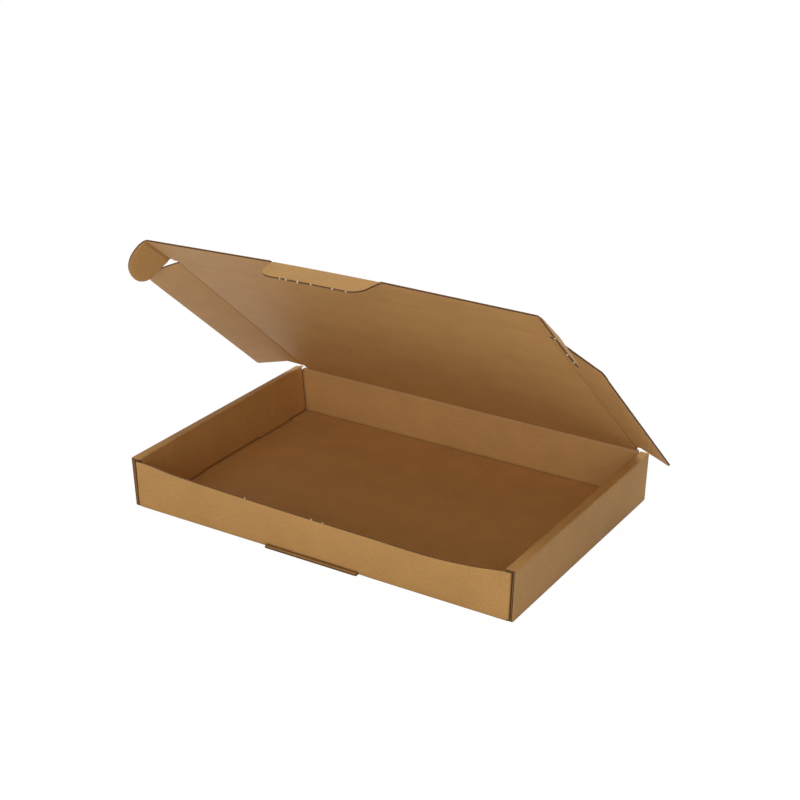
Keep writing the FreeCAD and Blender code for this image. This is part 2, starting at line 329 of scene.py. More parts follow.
def taken_through(tree, inputs, name, mesh):
    """A piece of plain mesh, made from this one by a tree with these inputs."""
    piece = bpy.data.objects.new(name, mesh)
    bpy.context.scene.collection.objects.link(piece)
    modifier = piece.modifiers.new(tree.name, "NODES")
    modifier.node_group = tree
    for item in tree.interface.items_tree:
        if item.name in inputs:
            modifier[item.identifier] = inputs[item.name]
    graph = bpy.context.evaluated_depsgraph_get()
    made = bpy.data.meshes.new_from_object(piece.evaluated_get(graph),
                                           preserve_all_data_layers=True,
                                           depsgraph=graph)
    piece.modifiers.clear()
    piece.data = made
    return piece


def build(name, body, blocks, spot_at, cuts, parts=("liners", "flutes")):
    """Pieces of board, one for each of the parts, from blocks that share edges.  A block
    is its columns and its rows.  spot_at(u, v) gives a place, the outside's direction
    and the share of the board's thickness that is left there."""
    spots, faces, numbers = [], [], {}
    for columns, vs in blocks:
        lines = []
        for v in vs:
            line = []
            for u in columns(v) if callable(columns) else columns:
                key = (round(u * 1e6), round(v * 1e6))
                if key not in numbers:
                    numbers[key] = len(spots)
                    place, out, press = spot_at(u, v)
                    near = min((to_segment(u, v, cut) for cut in cuts), default=1)
                    pinched = press * (1 - pinch * math.exp(-(near / pinch_width) ** 2))
                    spots.append((u, v, place, out, pinched, 1 - press))
                line.append(numbers[key])
            lines.append(line)
        for low, high in zip(lines, lines[1:]):
            for k in range(len(low) - 1):
                face = list(dict.fromkeys((low[k], low[k + 1], high[k + 1], high[k])))
                if len(face) < 3:
                    continue
                a, b, c = (spots[n][2] for n in face[:3])
                if (b - a).cross(c - a).dot(spots[face[0]][3]) < 0:
                    face.reverse()
                faces.append(face)
    sheet = bpy.data.meshes.new(name)
    sheet.from_pydata([spot[2] for spot in spots], [], faces)
    for label, kind, values in (
            ("out", "FLOAT_VECTOR", [spot[3] for spot in spots]),
            ("blank", "FLOAT_VECTOR", [(spot[0], spot[1], 0) for spot in spots])):
        made = sheet.attributes.new(label, kind, "POINT")
        made.data.foreach_set("vector", [x for vector in values for x in vector])
    for label, place in (("press", 4), ("fold", 5)):
        made = sheet.attributes.new(label, "FLOAT", "POINT")
        made.data.foreach_set("value", [spot[place] for spot in spots])

    pieces = []
    for part in parts:
        piece = taken_through(corrugated_board, {
            "Board thickness": board, "Liner thickness": liner, "Core thickness": core,
            "Flute pitch": flute_pitch, "Washboard": washboard,
            "Liners": part != "flutes", "Core": part != "liners"},
            name + "_" + part, sheet)
        piece.data.shade_smooth()
        piece.data.set_sharp_from_angle(angle=sharp_turn)
        if body:
            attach(piece, body)
        pieces.append(piece)
    return pieces


base_half = 117.6 * mm          # to where the side walls start
fold_start = 80.35 * mm         # front and back folds, from the middle
slot_near, slot_far = 114.7 * mm, 116.8 * mm
foot_middles = (-45.2 * mm, 45.2 * mm)
slot_half = 16.5 * mm
lip_left, lip_right = -31.0 * mm, 28.4 * mm
lip_front, lip_corner = -83.3 * mm, 1.0 * mm
lip_pinches = (0.3 * mm, 0.8 * mm)  # rows close to the lip's edge, which is pinched


def base_spot(u, v):
    return Vector((u, v, board / 2)), Vector((0, 0, -1)), 1.0


slot_ends = sorted(m + s * slot_half for m in foot_middles for s in (-1, 1))
base_rows = rows(-fold_start, *slot_ends, fold_start)


def between(vs, low, high):
    return [v for v in vs if low - 1e-9 <= v <= high + 1e-9]


def lip_columns(v):
    """The lip's front corners are rounded."""
    drop = max(0.0, lip_front + lip_corner - v)
    inset = lip_corner - math.sqrt(max(0.0, lip_corner ** 2 - drop ** 2))
    return near_edges(lip_left + inset, lip_right - inset)


base_cuts = [((lip_left, lip_front), (lip_right, lip_front)),
             ((lip_left, lip_front), (lip_left, -fold_start)),
             ((lip_right, lip_front), (lip_right, -fold_start))]
for low, high in (slot_ends[:2], slot_ends[2:]):
    for side in (-1, 1):
        corners = [(side * slot_near, low), (side * slot_far, low),
                   (side * slot_far, high), (side * slot_near, high)]
        base_cuts += list(zip(corners, corners[1:] + corners[:1]))
lip_rows = rows(lip_front, *[lip_front + back for back in lip_pinches],
                lip_front + lip_corner, -fold_start)
main_columns = near_edges(-slot_near, slot_near, 8)
base_blocks = [(main_columns, base_rows), (lip_columns, lip_rows)]
ends = [-fold_start] + slot_ends + [fold_start]
for side in (-1, 1):
    base_blocks.append((sorted([side * slot_far, side * base_half]), base_rows))
    base_blocks += [(sorted([side * slot_near, side * slot_far]),
                     between(base_rows, low, high))
                    for low, high in zip(ends[::2], ends[1::2])]
base = build("base", "tray", base_blocks, base_spot, base_cuts)
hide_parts("tray")

# -------------------------------------------------------------------- the side walls
# Each side is a double wall: an outer layer, a strip rolled over the top, and an inner
# layer whose two lock feet drop into the base's slots.  No glue holds it.
side_reach = 81.2 * mm          # half the length of the outer layer and the strip
inner_reach = 79.4 * mm         # and of the inner layer
foot_half = 16.2 * mm
roll_bend = 0.1 * mm            # middle of the board, in these walls' creases
roll_crush = 0.45               # share of its thickness that the board loses there
crush_width = 0.6 * mm
wall_step = 6 * mm
bend_steps = 6
# Corners of the middle of the board, from the base up, over and down: (x, z) in mm.
side_corners = {
    1: [(117.6, 0.75), (119.9, 0.75), (120.6, 29.5), (116.3, 29.5), (115.75, 2.1),
        (115.72, 0.2)],
    -1: [(117.6, 0.75), (121.4, 0.75), (123.1, 29.5), (118.6, 29.5), (115.9, 2.1),
         (115.88, 0.2)]}


def path(corners, folded):
    """A bent strip's middle: (length so far, (x, z), heading, press) at each place,
    and which place starts each straight run."""
    found, runs, creases = [], [], []
    length = 0.0
    headings = [math.atan2(b[1] - a[1], b[0] - a[0])
                for a, b in zip(corners, corners[1:])]
    start = Vector(corners[0])
    for k, (here, heading) in enumerate(zip(corners[1:], headings)):
        along = Vector((math.cos(heading), math.sin(heading)))
        turn = (headings[k + 1] - heading) % (2 * math.pi) if k < folded else 0.0
        stop = Vector(here) - along * roll_bend * math.tan(turn / 2)
        run = (stop - start).length
        runs.append(length)
        for step in near_edges(0, run, max(1, round(run / wall_step))):
            found.append((length + step, start + along * step, heading))
        length += run
        if turn:
            creases.append(length + roll_bend * turn / 2)
            aside = Vector((-along.y, along.x))
            middle = stop + aside * roll_bend
            for j in range(1, bend_steps + 1):
                part = heading + turn * j / bend_steps
                stop = middle + Vector((math.sin(part), -math.cos(part))) * roll_bend
                if j < bend_steps:
                    found.append((length + roll_bend * turn * j / bend_steps, stop, part))
            length += roll_bend * turn
        start = stop
    neat = []
    for length, place, heading in found:
        if neat and length - neat[-1][0] < 0.01 * mm:
            continue
        near = min(abs(length - c) for c in creases)
        neat.append((length, place, heading,
                     1 - roll_crush * math.exp(-(near / crush_width) ** 2)))
    starts = [min(range(len(neat)), key=lambda k: abs(neat[k][0] - run)) for run in runs]
    return neat, starts


roll_lift = {1: 0.0, -1: 1.3 * mm}      # the inner layer's top, at the back
feet = sorted(m + s * foot_half for m in foot_middles for s in (-1, 1))
wall_rows = rows(-side_reach, -fold_start, *slot_ends, fold_start, side_reach)
inner_rows = rows(-inner_reach, *feet, inner_reach)
for side, name in ((1, "right"), (-1, "left")):
    corners = [(x * mm, z * mm) for x, z in side_corners[side]]
    side_path, (_, wall_start, strip_start, inner_start, foot_start) = path(corners, 3)
    us = [side * (base_half + there[0]) for there in side_path]
    side_at = {round(abs(u) * 1e7): there for u, there in zip(us, side_path)}
    lift_from, lift_full, lift_end = (side_path[k][0] for k in (strip_start, inner_start,
                                                                foot_start))

    def side_spot(u, v):
        length, (x, z), heading, press = side_at[round(abs(u) * 1e7)]
        if length > lift_from:
            share = min(1.0, (length - lift_from) / (lift_full - lift_from),
                        max(0.0, lift_end - length) / (lift_end - lift_full))
            z += roll_lift[side] * share * (v + side_reach) / (2 * side_reach)
        out = Vector((side * math.sin(heading), 0, -math.cos(heading)))
        return Vector((side * x, v, z)) + out * (1 - press) * board / 2, out, press

    wall_bottom, inner_top = us[wall_start], us[inner_start]
    inner_bottom, foot_bottom = us[foot_start], us[-1]
    side_cuts = []
    for end in (-1, 1):
        rim, fold, inner_end = end * side_reach, end * fold_start, end * inner_reach
        side_cuts += [((wall_bottom, rim), (inner_top, rim)),
                      ((wall_bottom, rim), (wall_bottom, fold)),
                      ((us[0], fold), (wall_bottom, fold)),
                      ((inner_top, inner_end), (inner_bottom, inner_end))]
    ends = [-inner_reach] + feet + [inner_reach]
    side_cuts += [((inner_bottom, low), (inner_bottom, high))
                  for low, high in zip(ends[::2], ends[1::2])]
    side_cuts += [((foot_bottom, low), (foot_bottom, high))
                  for low, high in (feet[:2], feet[2:])]
    side_blocks = [(us[:wall_start + 1], between(wall_rows, -fold_start, fold_start)),
                   (us[wall_start:inner_start + 1], wall_rows),
                   (us[inner_start:foot_start + 1], inner_rows)]
    side_blocks += [(us[foot_start:], between(inner_rows, low, high))
                    for low, high in (feet[:2], feet[2:])]
    build(name + "_wall", "tray", side_blocks, side_spot, side_cuts)

# -------------------------------------------------------------------- the front wall
# One layer, worn into a bulge.  The slot for the lock tab is cut through its fold, and
# its ends are folded back as corner flaps, held between the layers of the side walls.
wall_halves = {-1: 118.8 * mm, 1: 117.3 * mm}     # to the corner flaps' folds
flap_leans = {-1: 1.0 * mm, 1: 0.6 * mm}          # how much wider, at the top
free_flat = 115.0 * mm          # half of what stays straight between the folds
bend_radius = 0.4 * mm          # middle of the board, in the folds
bend_length = bend_radius * math.pi / 2
crush = 0.55                    # share of its thickness that the board loses there
corner_crush = 0.15             # and in the corner flaps' folds
front_face = fold_start + bend_radius   # middle of the board, from the middle of the box
wall_foot = board / 2 + bend_radius
wall_rise = 28.3 * mm - wall_foot       # of the flat wall, above the fold
foot_line = fold_start + bend_length    # its foot and top, in the flat sheet
wall_top = foot_line + wall_rise
slot_left, slot_right = -30.5 * mm, 28.7 * mm
slot_top = 2.15 * mm
flap_length = 36 * mm
flap_bevel = 4 * mm
# Share of the way from the middle to the corner, and how far the rim stands out, in mm.
bulge_places = [(-1.0, 0.0), (-0.76, 2.8), (-0.28, 4.6), (0.34, 5.7), (0.66, 6.0),
                (0.87, 3.4), (1.0, 0.0)]


def bulge(u):
    """How far the rim stands out at u: a smooth curve through the places."""
    share = min(1.0, max(-1.0, u / wall_halves[1 if u > 0 else -1]))
    points = [(a, b * mm) for a, b in bulge_places]
    slopes = [0.0]
    for before, here, after in zip(points, points[1:], points[2:]):
        slopes.append((after[1] - before[1]) / (after[0] - before[0]))
    slopes.append(0.0)
    for k in range(len(points) - 1):
        (a, y0), (b, y1) = points[k], points[k + 1]
        if share <= b:
            width = b - a
            t = (share - a) / width
            return ((2 * t ** 3 - 3 * t ** 2 + 1) * y0
                    + (t ** 3 - 2 * t ** 2 + t) * width * slopes[k]
                    + (3 * t ** 2 - 2 * t ** 3) * y1
                    + (t ** 3 - t ** 2) * width * slopes[k + 1])
    return 0.0


def wall_spot(end, bulging):
    """Spots of the front (-1) or back (1) wall with its fold and corner flaps."""

    def spot(u, v):
        side = 1 if u > 0 else -1
        half = wall_halves[side]
        rise = abs(v) - foot_line
        if rise < -1e-9:
            turn = (abs(v) - fold_start) / bend_radius
            place = Vector((u, end * (fold_start + bend_radius * math.sin(turn)),
                            board / 2 + bend_radius * (1 - math.cos(turn))))
            out = Vector((0, end * math.sin(turn), -math.cos(turn)))
            press = 1 - crush * math.sin(2 * turn)
            return place + out * (1 - press) * board / 2, out, press
        z = wall_foot + rise
        past = abs(u) - half
        lean = flap_leans[side] * min(1.0, max(0.0, rise) / wall_rise)
        lean *= min(1.0, max(0.0, (abs(u) - free_flat) / (half - free_flat)))
        if past > 0:
            turn = min(past / bend_radius, math.pi / 2)
            run = max(0.0, past - bend_length)
            x = half + lean + bend_radius * math.sin(turn)
            y = front_face - bend_radius * (1 - math.cos(turn)) - run
            out = Vector((side * math.sin(turn), end * math.cos(turn), 0))
            press = 1 - corner_crush * math.sin(2 * turn) if run == 0 else 1.0
            place = Vector((side * x, end * y, z)) + out * (1 - press) * board / 2
            return place, out, press
        if not bulging:
            place = Vector((u + side * lean, end * front_face, z))
            return place, Vector((0, end, 0)), 1.0
        share = rise / wall_rise
        stand = bulge(u)
        top = math.sqrt(wall_rise ** 2 - stand ** 2)
        slope = (bulge(u + 0.5 * mm) - bulge(u - 0.5 * mm)) / mm
        across = Vector((1, -share * slope, 0))
        up = Vector((0, -stand, top))
        place = Vector((u + side * lean, -front_face - share * stand,
                        wall_foot + share * top))
        return place, across.cross(up).normalized(), 1.0

    return spot


def flap_columns(side, v):
    """The free corners of a corner flap are cut off."""
    half = wall_halves[side]
    rise = abs(v) - foot_line
    limit = flap_length - max(0.0, flap_bevel - rise, flap_bevel - (wall_rise - rise))
    bend = [half + bend_length * k / 7 for k in range(8)]
    run = near_edges(half + bend_length, half + bend_length + limit)[1:]
    return sorted(side * u for u in bend + run)


def spread(*breaks, step=7 * mm):
    """Places along the flutes with one at each break, evenly spaced between them."""
    found = []
    for low, high in zip(breaks, breaks[1:]):
        count = max(1, round((high - low) / step))
        found += [low + (high - low) * k / count for k in range(count)]
    return found + [breaks[-1]]


def flap_cuts(end):
    """Cut edges of a wall's two corner flaps."""
    found = []
    for side in (-1, 1):
        tip = wall_halves[side] + bend_length + flap_length
        corners = [(wall_halves[side], foot_line), (tip - flap_bevel, foot_line),
                   (tip, foot_line + flap_bevel), (tip, wall_top - flap_bevel),
                   (tip - flap_bevel, wall_top), (wall_halves[side], wall_top)]
        corners = [(side * u, end * v) for u, v in corners]
        found += list(zip(corners, corners[1:]))
    return found


slot_line = foot_line + slot_top - wall_foot
front_rows = rows(-wall_top, -slot_line, -foot_line, -fold_start)
front_cuts = flap_cuts(-1) + [
    ((-wall_halves[-1], -wall_top), (wall_halves[1], -wall_top)),
    ((slot_left, -slot_line), (slot_right, -slot_line)),
    ((slot_left, -slot_line), (slot_left, -fold_start)),
    ((slot_right, -slot_line), (slot_right, -fold_start))]
front_spot = wall_spot(-1, True)
front_blocks = [(spread(slot_left, slot_right),
                 between(front_rows, -wall_top, -slot_line))]
for side in (-1, 1):
    slot_end = slot_right if side > 0 else -slot_left
    columns = spread(slot_end, free_flat, wall_halves[side])
    front_blocks += [(sorted(side * u for u in columns), front_rows),
                     (lambda v, side=side: flap_columns(side, v),
                      between(front_rows, -wall_top, -foot_line))]
build("front_wall", "tray", front_blocks, front_spot, front_cuts)

# --------------------------------------------------------------------- the back wall
# One layer with corner flaps like the front wall's.  Its top is notched at both ends,
# and goes on into the lid's crease.
hinge = Vector((0, 80.75 * mm, 31.05 * mm))
hinge_reach = 1.9 * mm          # of the crease, to each side of the hinge line
back_tops = {-1: 117.7 * mm, 1: free_flat}  # the back wall's top, to each end
shoulder_narrow = 114.0 * mm    # nicks at the ends of the lid's crease
free_half = 114.3 * mm          # half of the lid's free width beside the hinge
nick_low, nick_high = 0.4 * mm, 0.9 * mm    # the nicks, below and above the hinge line
nick_slope = 5                  # how steeply the sheet widens again, below them
hinge_line = foot_line + hinge.z - wall_foot    # in the flat sheet
crease_line = hinge_line - hinge_reach
shoulder_end = hinge_line + nick_high + free_half - shoulder_narrow


def shoulder(side, v):
    """How far the sheet reaches to one side, near the hinge line."""
    past = v - hinge_line
    if past < 0:
        return min(back_tops[side], shoulder_narrow
                   + nick_slope * max(0.0, -nick_low - past))
    return min(free_half, shoulder_narrow + max(0.0, past - nick_high))


def shoulder_columns(v):
    return near_edges(-shoulder(-1, v), shoulder(1, v), 8)


shoulder_cuts = []
for side in (-1, 1):
    corners = [(side * wall_halves[side], wall_top),
               (side * back_tops[side], wall_top),
               (side * back_tops[side], hinge_line - nick_low),
               (side * shoulder_narrow, hinge_line - nick_low),
               (side * shoulder_narrow, hinge_line + nick_high),
               (side * free_half, shoulder_end)]
    shoulder_cuts += list(zip(corners, corners[1:]))
back_rows = rows(fold_start, foot_line, wall_top)
back_columns = [-wall_halves[-1]] + shoulder_columns(wall_top) + [wall_halves[1]]
back_blocks = [(shoulder_columns, rows(wall_top, crease_line)), (back_columns, back_rows)]
back_blocks += [(lambda v, side=side: flap_columns(side, v),
                 between(back_rows, foot_line, wall_top)) for side in (-1, 1)]
build("back_wall", "tray", back_blocks, wall_spot(1, False),
      flap_cuts(1) + shoulder_cuts)

# ----------------------------------------------------------------- the lid's crease
# The line that the lid turns on: the board is crushed there, so that both liners
# bend and the core folds flat.
lid_open = 41.7                 # degrees, from closed
outer_length = 243 * mm
lid_twist = 1.35                # degrees more open at the right end than at the left
lid_bow = 0.6                   # and in the middle than at both ends
strip_steps = 10
crushed_share = 0.45            # of a crease's reach, over which the board is crushed
crushed_sink = 0.2 * mm         # how far its middle sinks there
still_edge = 0.35 * mm          # at each edge of a crease, moves with its panel


def worn(place, out, share=1.0):
    """The lid has taken a slight twist and bow: its right side and middle are higher."""
    along = place.x / outer_length
    more = lid_twist * along + lid_bow * (0.5 - 4 * along * along)
    turn = Matrix.Rotation(-math.radians(more * share), 3, "X")
    return hinge + turn @ (place - hinge), turn @ out


def folding(axis_point, degrees, axis):
    return (Matrix.Translation(axis_point)
            @ Matrix.Rotation(math.radians(degrees), 4, axis)
            @ Matrix.Translation(-axis_point))


def creased(frame_in, axis_point, axis, fold, beyond, reach, deep=0.5, on_tray=False):
    """Spots of a crease.  beyond(u, v) is how far past the crease line a spot is, and
    deep is the share of the board's thickness that is crushed there."""

    def spot(u, v):
        past = beyond(u, v)
        share = min(1.0, max(0.0, (past + reach) / (2 * reach)))
        share = share * share * (3 - 2 * share)
        whole = frame_in @ folding(axis_point, fold * share, axis)
        crushed = deep * math.exp(-(past / (crushed_share * reach)) ** 2)
        place = whole @ Vector((u, -(v - hinge_line), -crushed_sink * crushed))
        out = (whole.to_3x3() @ Vector((0, 0, 1))).normalized()
        place, out = worn(place, out, share if on_tray else 1.0)
        return place, out, 1 - crushed

    return spot


def over(line, reach, steps=strip_steps):
    """Evenly spaced places across a crease."""
    return [line - reach + 2 * reach * k / steps for k in range(steps + 1)]


def crease(name, spot, blocks, cuts, line, reach):
    """Builds a crease's board, bent from one panel to the next, and on no body.  line(q)
    gives a spot (u, v).
    """
    piece, = build(name, None, blocks, spot, cuts, ("board",))
    bending = reach - still_edge
    start = spot(*line(-bending))[0]
    end = spot(*line(bending))[0]
    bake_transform(piece)
    return piece


upright = Matrix.Translation(hinge) @ Matrix.Rotation(math.radians(-90), 4, "X")
lid_place = Matrix.Translation(hinge) @ Matrix.Rotation(math.radians(-lid_open), 4, "X")
hinge_spot = creased(upright, Vector((0, 0, 0)), "X", 90 - lid_open,
                     lambda u, v: v - hinge_line, hinge_reach, on_tray=True)
crease("lid_crease", hinge_spot, [(shoulder_columns, over(hinge_line, hinge_reach, 14))],
       shoulder_cuts, lambda q: (0, hinge_line + q), hinge_reach)

# ---------------------------------------------------------------------- the lid panel
# The lid's main panel, one flat piece of the sheet.  Its flaps are creased to its other
# three edges, and at each end of the hinge it has a free edge 5 mm long.
crease_half = 114.4 * mm        # side creases, from the middle
lid_depth = 162.55 * mm         # from the hinge line to the tuck flap's crease
flap_start = 5.0 * mm
reach = 1.5 * mm                # of the flaps' creases, to each side
lid_start_line = hinge_line + hinge_reach
flap_line = hinge_line + flap_start
tuck_line = hinge_line + lid_depth
lid_end_line = tuck_line - reach


def flat_spot(place):
    """Spots of a flat panel that lies in the lid's frame before this placement."""
    turned = place.to_3x3()

    def spot(u, v):
        return *worn(place @ Vector((u, -(v - hinge_line), 0)),
                     turned @ Vector((0, 0, 1))), 1.0

    return spot


lid_spot = flat_spot(lid_place)
lid_half = crease_half - reach
lid_cuts = shoulder_cuts + [((side * free_half, shoulder_end),
                             (side * free_half, flap_line)) for side in (-1, 1)]
lid_blocks = [(shoulder_columns, rows(lid_start_line, flap_line)),
              (near_edges(-lid_half, lid_half, 8), rows(flap_line, lid_end_line))]
lid = build("lid_panel", "lid", lid_blocks, lid_spot, lid_cuts)
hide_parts("lid_panel")

# ---------------------------------------------------------------- the lid's side flaps
# Tapered flaps that tuck in between the side walls and the contents.  Each is joined
# to the lid panel by a crease, and cut free of the tuck flap by a slit.
side_depth = 28.0 * mm
flap_folds = {1: 18.5, -1: 17.0}
side_bevel = 7.5 * mm
side_rear = 14.5 * mm           # from the hinge line
side_taper = 18.0 * mm
side_corner = 1.5 * mm
flap_ends = {1: tuck_line - 0.9 * mm, -1: tuck_line - 1.3 * mm}
flap_relief = 3.1 * mm
flap_middle = tuck_line - 80 * mm       # about half way along the side flaps


def arc(start, middle, end, count=8):
    """Points on the arc through three points, without the first."""
    (ax, ay), (bx, by), (cx, cy) = start, middle, end
    d = 2 * (ax * (by - cy) + bx * (cy - ay) + cx * (ay - by))
    ox = ((ax * ax + ay * ay) * (by - cy) + (bx * bx + by * by) * (cy - ay)
          + (cx * cx + cy * cy) * (ay - by)) / d
    oy = ((ax * ax + ay * ay) * (cx - bx) + (bx * bx + by * by) * (ax - cx)
          + (cx * cx + cy * cy) * (bx - ax)) / d
    radius = math.hypot(ax - ox, ay - oy)
    first = math.atan2(ay - oy, ax - ox)
    last = math.atan2(cy - oy, cx - ox)
    half_way = math.atan2(by - oy, bx - ox)
    sweep = (last - first) % (2 * math.pi)
    if (half_way - first) % (2 * math.pi) > sweep:
        sweep -= 2 * math.pi
    return [(ox + radius * math.cos(first + sweep * k / count),
             oy + radius * math.sin(first + sweep * k / count))
            for k in range(1, count + 1)]


def width_at(outline, v, from_u):
    """Where a row at v enters and leaves an outline, not before from_u."""
    found = []
    for (au, av), (bu, bv) in zip(outline, outline[1:] + outline[:1]):
        if min(av, bv) - 1e-9 <= v <= max(av, bv) + 1e-9:
            if abs(bv - av) < 1e-9:
                found += [au, bu]
            else:
                found.append(au + (bu - au) * (v - av) / (bv - av))
    low, high = min(found), max(found)
    return max(low, from_u), max(high, from_u)


def panel_columns(outline, side, from_u):
    """Columns of the part of an outline beyond a line, on one side of the box."""

    def columns(v):
        low, high = width_at(outline, v, from_u)
        return sorted(side * u for u in near_edges(low, high))

    return columns


def outline_cuts(outline, side, joined_u):
    """The outline's edges on one side of the box, but for the joined edge."""
    found = []
    for a, b in zip(outline, outline[1:] + outline[:1]):
        if max(a[0], b[0]) > joined_u + 1e-6:
            found.append(((side * a[0], a[1]), (side * b[0], b[1])))
    return found


root = crease_half + 0.1 * mm
tip = crease_half + side_depth
edge = crease_half + reach
rear = hinge_line + side_rear
round_start = tuck_line - 0.8 * mm - side_taper
bow = side_corner * (1 - math.sqrt(0.5))
# Where the front corner's curve starts, goes through and ends, in mm past the tip and
# past where the taper starts.
front_curves = {1: [(1.6, -2.0), (2.3, 5.0), (1.9, 9.8)],
                -1: [(0.0, 0.0), (-1.12, 5.4), (-3.92, 9.9)]}
slant_start = root + 11.5 * mm
for side, name in ((1, "right"), (-1, "left")):
    front = [(tip + a * mm, round_start + b * mm) for a, b in front_curves[side]]
    flap_outline = [(root, flap_line), (root + side_bevel, rear),
                    (tip - side_corner, rear)]
    flap_outline += arc(flap_outline[-1], (tip - bow, rear + bow),
                        (tip, rear + side_corner))
    flap_outline += front[:1] + arc(*front)
    flap_outline += [(slant_start, flap_ends[side] - flap_relief),
                     (root, flap_ends[side])]
    axis = Vector((side * crease_half, 0, -board / 2))
    cuts = outline_cuts(flap_outline, side, root)
    vs = rows(*[v for u, v in flap_outline if u > edge],
              flap_line + edge - root, flap_ends[side] - 0.3 * mm)
    vs = [v for v in vs if width_at(flap_outline, v, 0)[1] > edge]
    spot = flat_spot(lid_place @ folding(axis, flap_folds[side] * side, "Y"))
    flap = build(name + "_side_flap", name + "_side_flap",
                 [(panel_columns(flap_outline, side, edge), vs)], spot, cuts)
    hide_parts(name + "_side_flap")

    bend_spot = creased(lid_place, axis, "Y", side * flap_folds[side],
                        lambda u, v, side=side: side * u - crease_half, reach, 0.25)
    strip_rows = rows(flap_line, flap_line + edge - root, lid_end_line)
    strip = [(lid_half, flap_line), (root, flap_line), (edge, flap_line + edge - root),
             (edge, lid_end_line), (lid_half, lid_end_line)]

    def strip_columns(v, side=side, strip=strip):
        low, high = width_at(strip, v, 0)
        return sorted(side * u for u in over((low + high) / 2, (high - low) / 2))

    crease(name + "_side_crease", bend_spot, [(strip_columns, strip_rows)],
           [((side * root, flap_line), (side * edge, flap_line + edge - root))],
           lambda q, side=side: (side * (crease_half + q), flap_middle), reach)

# ---------------------------------------------------------------------- the tuck flap
# The flap along the lid's front edge, creased to the lid panel.  It goes in front of the
# front wall.  Its free edge is notched at each end of the lock tab.
tuck_fold = 3.0
tuck_half = 118.5 * mm          # to the ears' creases
tuck_depth = 28.5 * mm
tab_crease = 27.1 * mm          # from the tuck flap's crease
tab_half = 33.1 * mm
tab_shift = -3.8 * mm           # the tab's middle, from the lid's
notch_half = 33.3 * mm
tab_reach = 1.2 * mm
tuck_far = tuck_line + tuck_depth
tab_line = tuck_line + tab_crease
tuck_nears = {1: tuck_line + 0.1 * mm, -1: tuck_line + 0.7 * mm}
ear_bend = 1.9 * mm            # of the ears' creases, to each side
tuck_axis = Vector((0, -lid_depth, -board / 2))

tuck_place = lid_place @ folding(tuck_axis, tuck_fold, "X")
tuck_spot = flat_spot(tuck_place)
tuck_edge = tuck_half - ear_bend
tuck_cuts = []
for side in (-1, 1):
    tuck_cuts.append(((side * free_half, tuck_nears[side]),
                      (side * tuck_half, tuck_nears[side])))
    notch = tab_shift + side * notch_half
    corners = [(side * tuck_half, tuck_far), (notch, tuck_far),
               (notch, tab_line - tab_reach)]
    tuck_cuts += list(zip(corners, corners[1:]))
tuck_mid_rows = rows(tuck_line + reach, tab_line - tab_reach)
tab_columns = near_edges(tab_shift - tab_half, tab_shift + tab_half, 6)
tuck_blocks = [(tab_columns, tuck_mid_rows)]
for side in (-1, 1):
    notch = tab_shift + side * notch_half
    shoulders = [side * u for u in near_edges(free_half, tuck_edge, 1)]
    outer = sorted([notch] + shoulders)
    tuck_blocks += [(outer, tuck_mid_rows),
                    (sorted([tab_shift + side * tab_half, notch]), tuck_mid_rows),
                    (outer, rows(tab_line - tab_reach, tuck_far)),
                    (sorted(shoulders), rows(tuck_nears[side], tuck_line + reach))]
tuck = build("tuck_flap", "tuck_flap", tuck_blocks, tuck_spot, tuck_cuts)
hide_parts("tuck_flap")

tuck_bend = creased(lid_place, tuck_axis, "X", tuck_fold, lambda u, v: v - tuck_line,
                    reach, 0.08)
crease("tuck_crease", tuck_bend,
       [(near_edges(-free_half, free_half, 8), over(tuck_line, reach))], [],
       lambda q: (0, tuck_line + q), reach)

# --------------------------------------------------------------------------- the ears
# Rounded lobes on the tuck flap's ends.  They slide into the slits beside the corner
# flaps when the box is shut.
ear_folds = {1: 38.0, -1: 50.0}
ear_reach = 21.2 * mm
ear_gaps = {1: 0.9 * mm, -1: 2.3 * mm}  # from the tuck flap's crease to the ears
ear_root = tuck_half + 0.1 * mm
ear_middle = tuck_line + 14 * mm
# The rounded edge, two arcs: shares of the reach, and of the tuck flap's depth.
ear_curve = [(0.18, 0.0), (0.80, 0.29), (1.0, 0.80), (0.936, 0.930), (0.79, 1.015)]
ear_round = [(ear_root + ear_reach * a, tuck_far - tuck_depth * b) for a, b in ear_curve]
ear_round = ear_round[:1] + arc(*ear_round[:3], 14) + arc(*ear_round[2:])
ear_spots = {}
for side, name in ((1, "right"), (-1, "left")):
    ear_start = tuck_line + ear_gaps[side]
    ear_outline = [(ear_root, ear_start), (ear_root, tuck_far)] + ear_round
    axis = Vector((side * tuck_half, 0, -board / 2))
    spot = flat_spot(tuck_place @ folding(axis, ear_folds[side] * side, "Y"))
    edge = tuck_half + ear_bend
    cuts = outline_cuts(ear_outline, side, ear_root)
    vs = rows(*[v for u, v in ear_outline])
    vs = [v for v in vs if width_at(ear_outline, v, 0)[1] > edge]
    ear_spots[side] = spot
    ear = build(name + "_ear", name + "_ear",
                [(panel_columns(ear_outline, side, edge), vs)], spot, cuts)
    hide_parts(name + "_ear")
    bend_spot = creased(tuck_place, axis, "Y", side * ear_folds[side],
                        lambda u, v, side=side: side * u - tuck_half, ear_bend)
    us = sorted(side * u for u in over(tuck_half, ear_bend))
    strip_cuts = [((side * tuck_edge, v), (side * edge, v))
                  for v in (ear_start, tuck_far)]
    crease(name + "_ear_crease", bend_spot, [(us, rows(ear_start, tuck_far))], strip_cuts,
           lambda q, side=side: (side * (tuck_half + q), ear_middle), ear_bend)

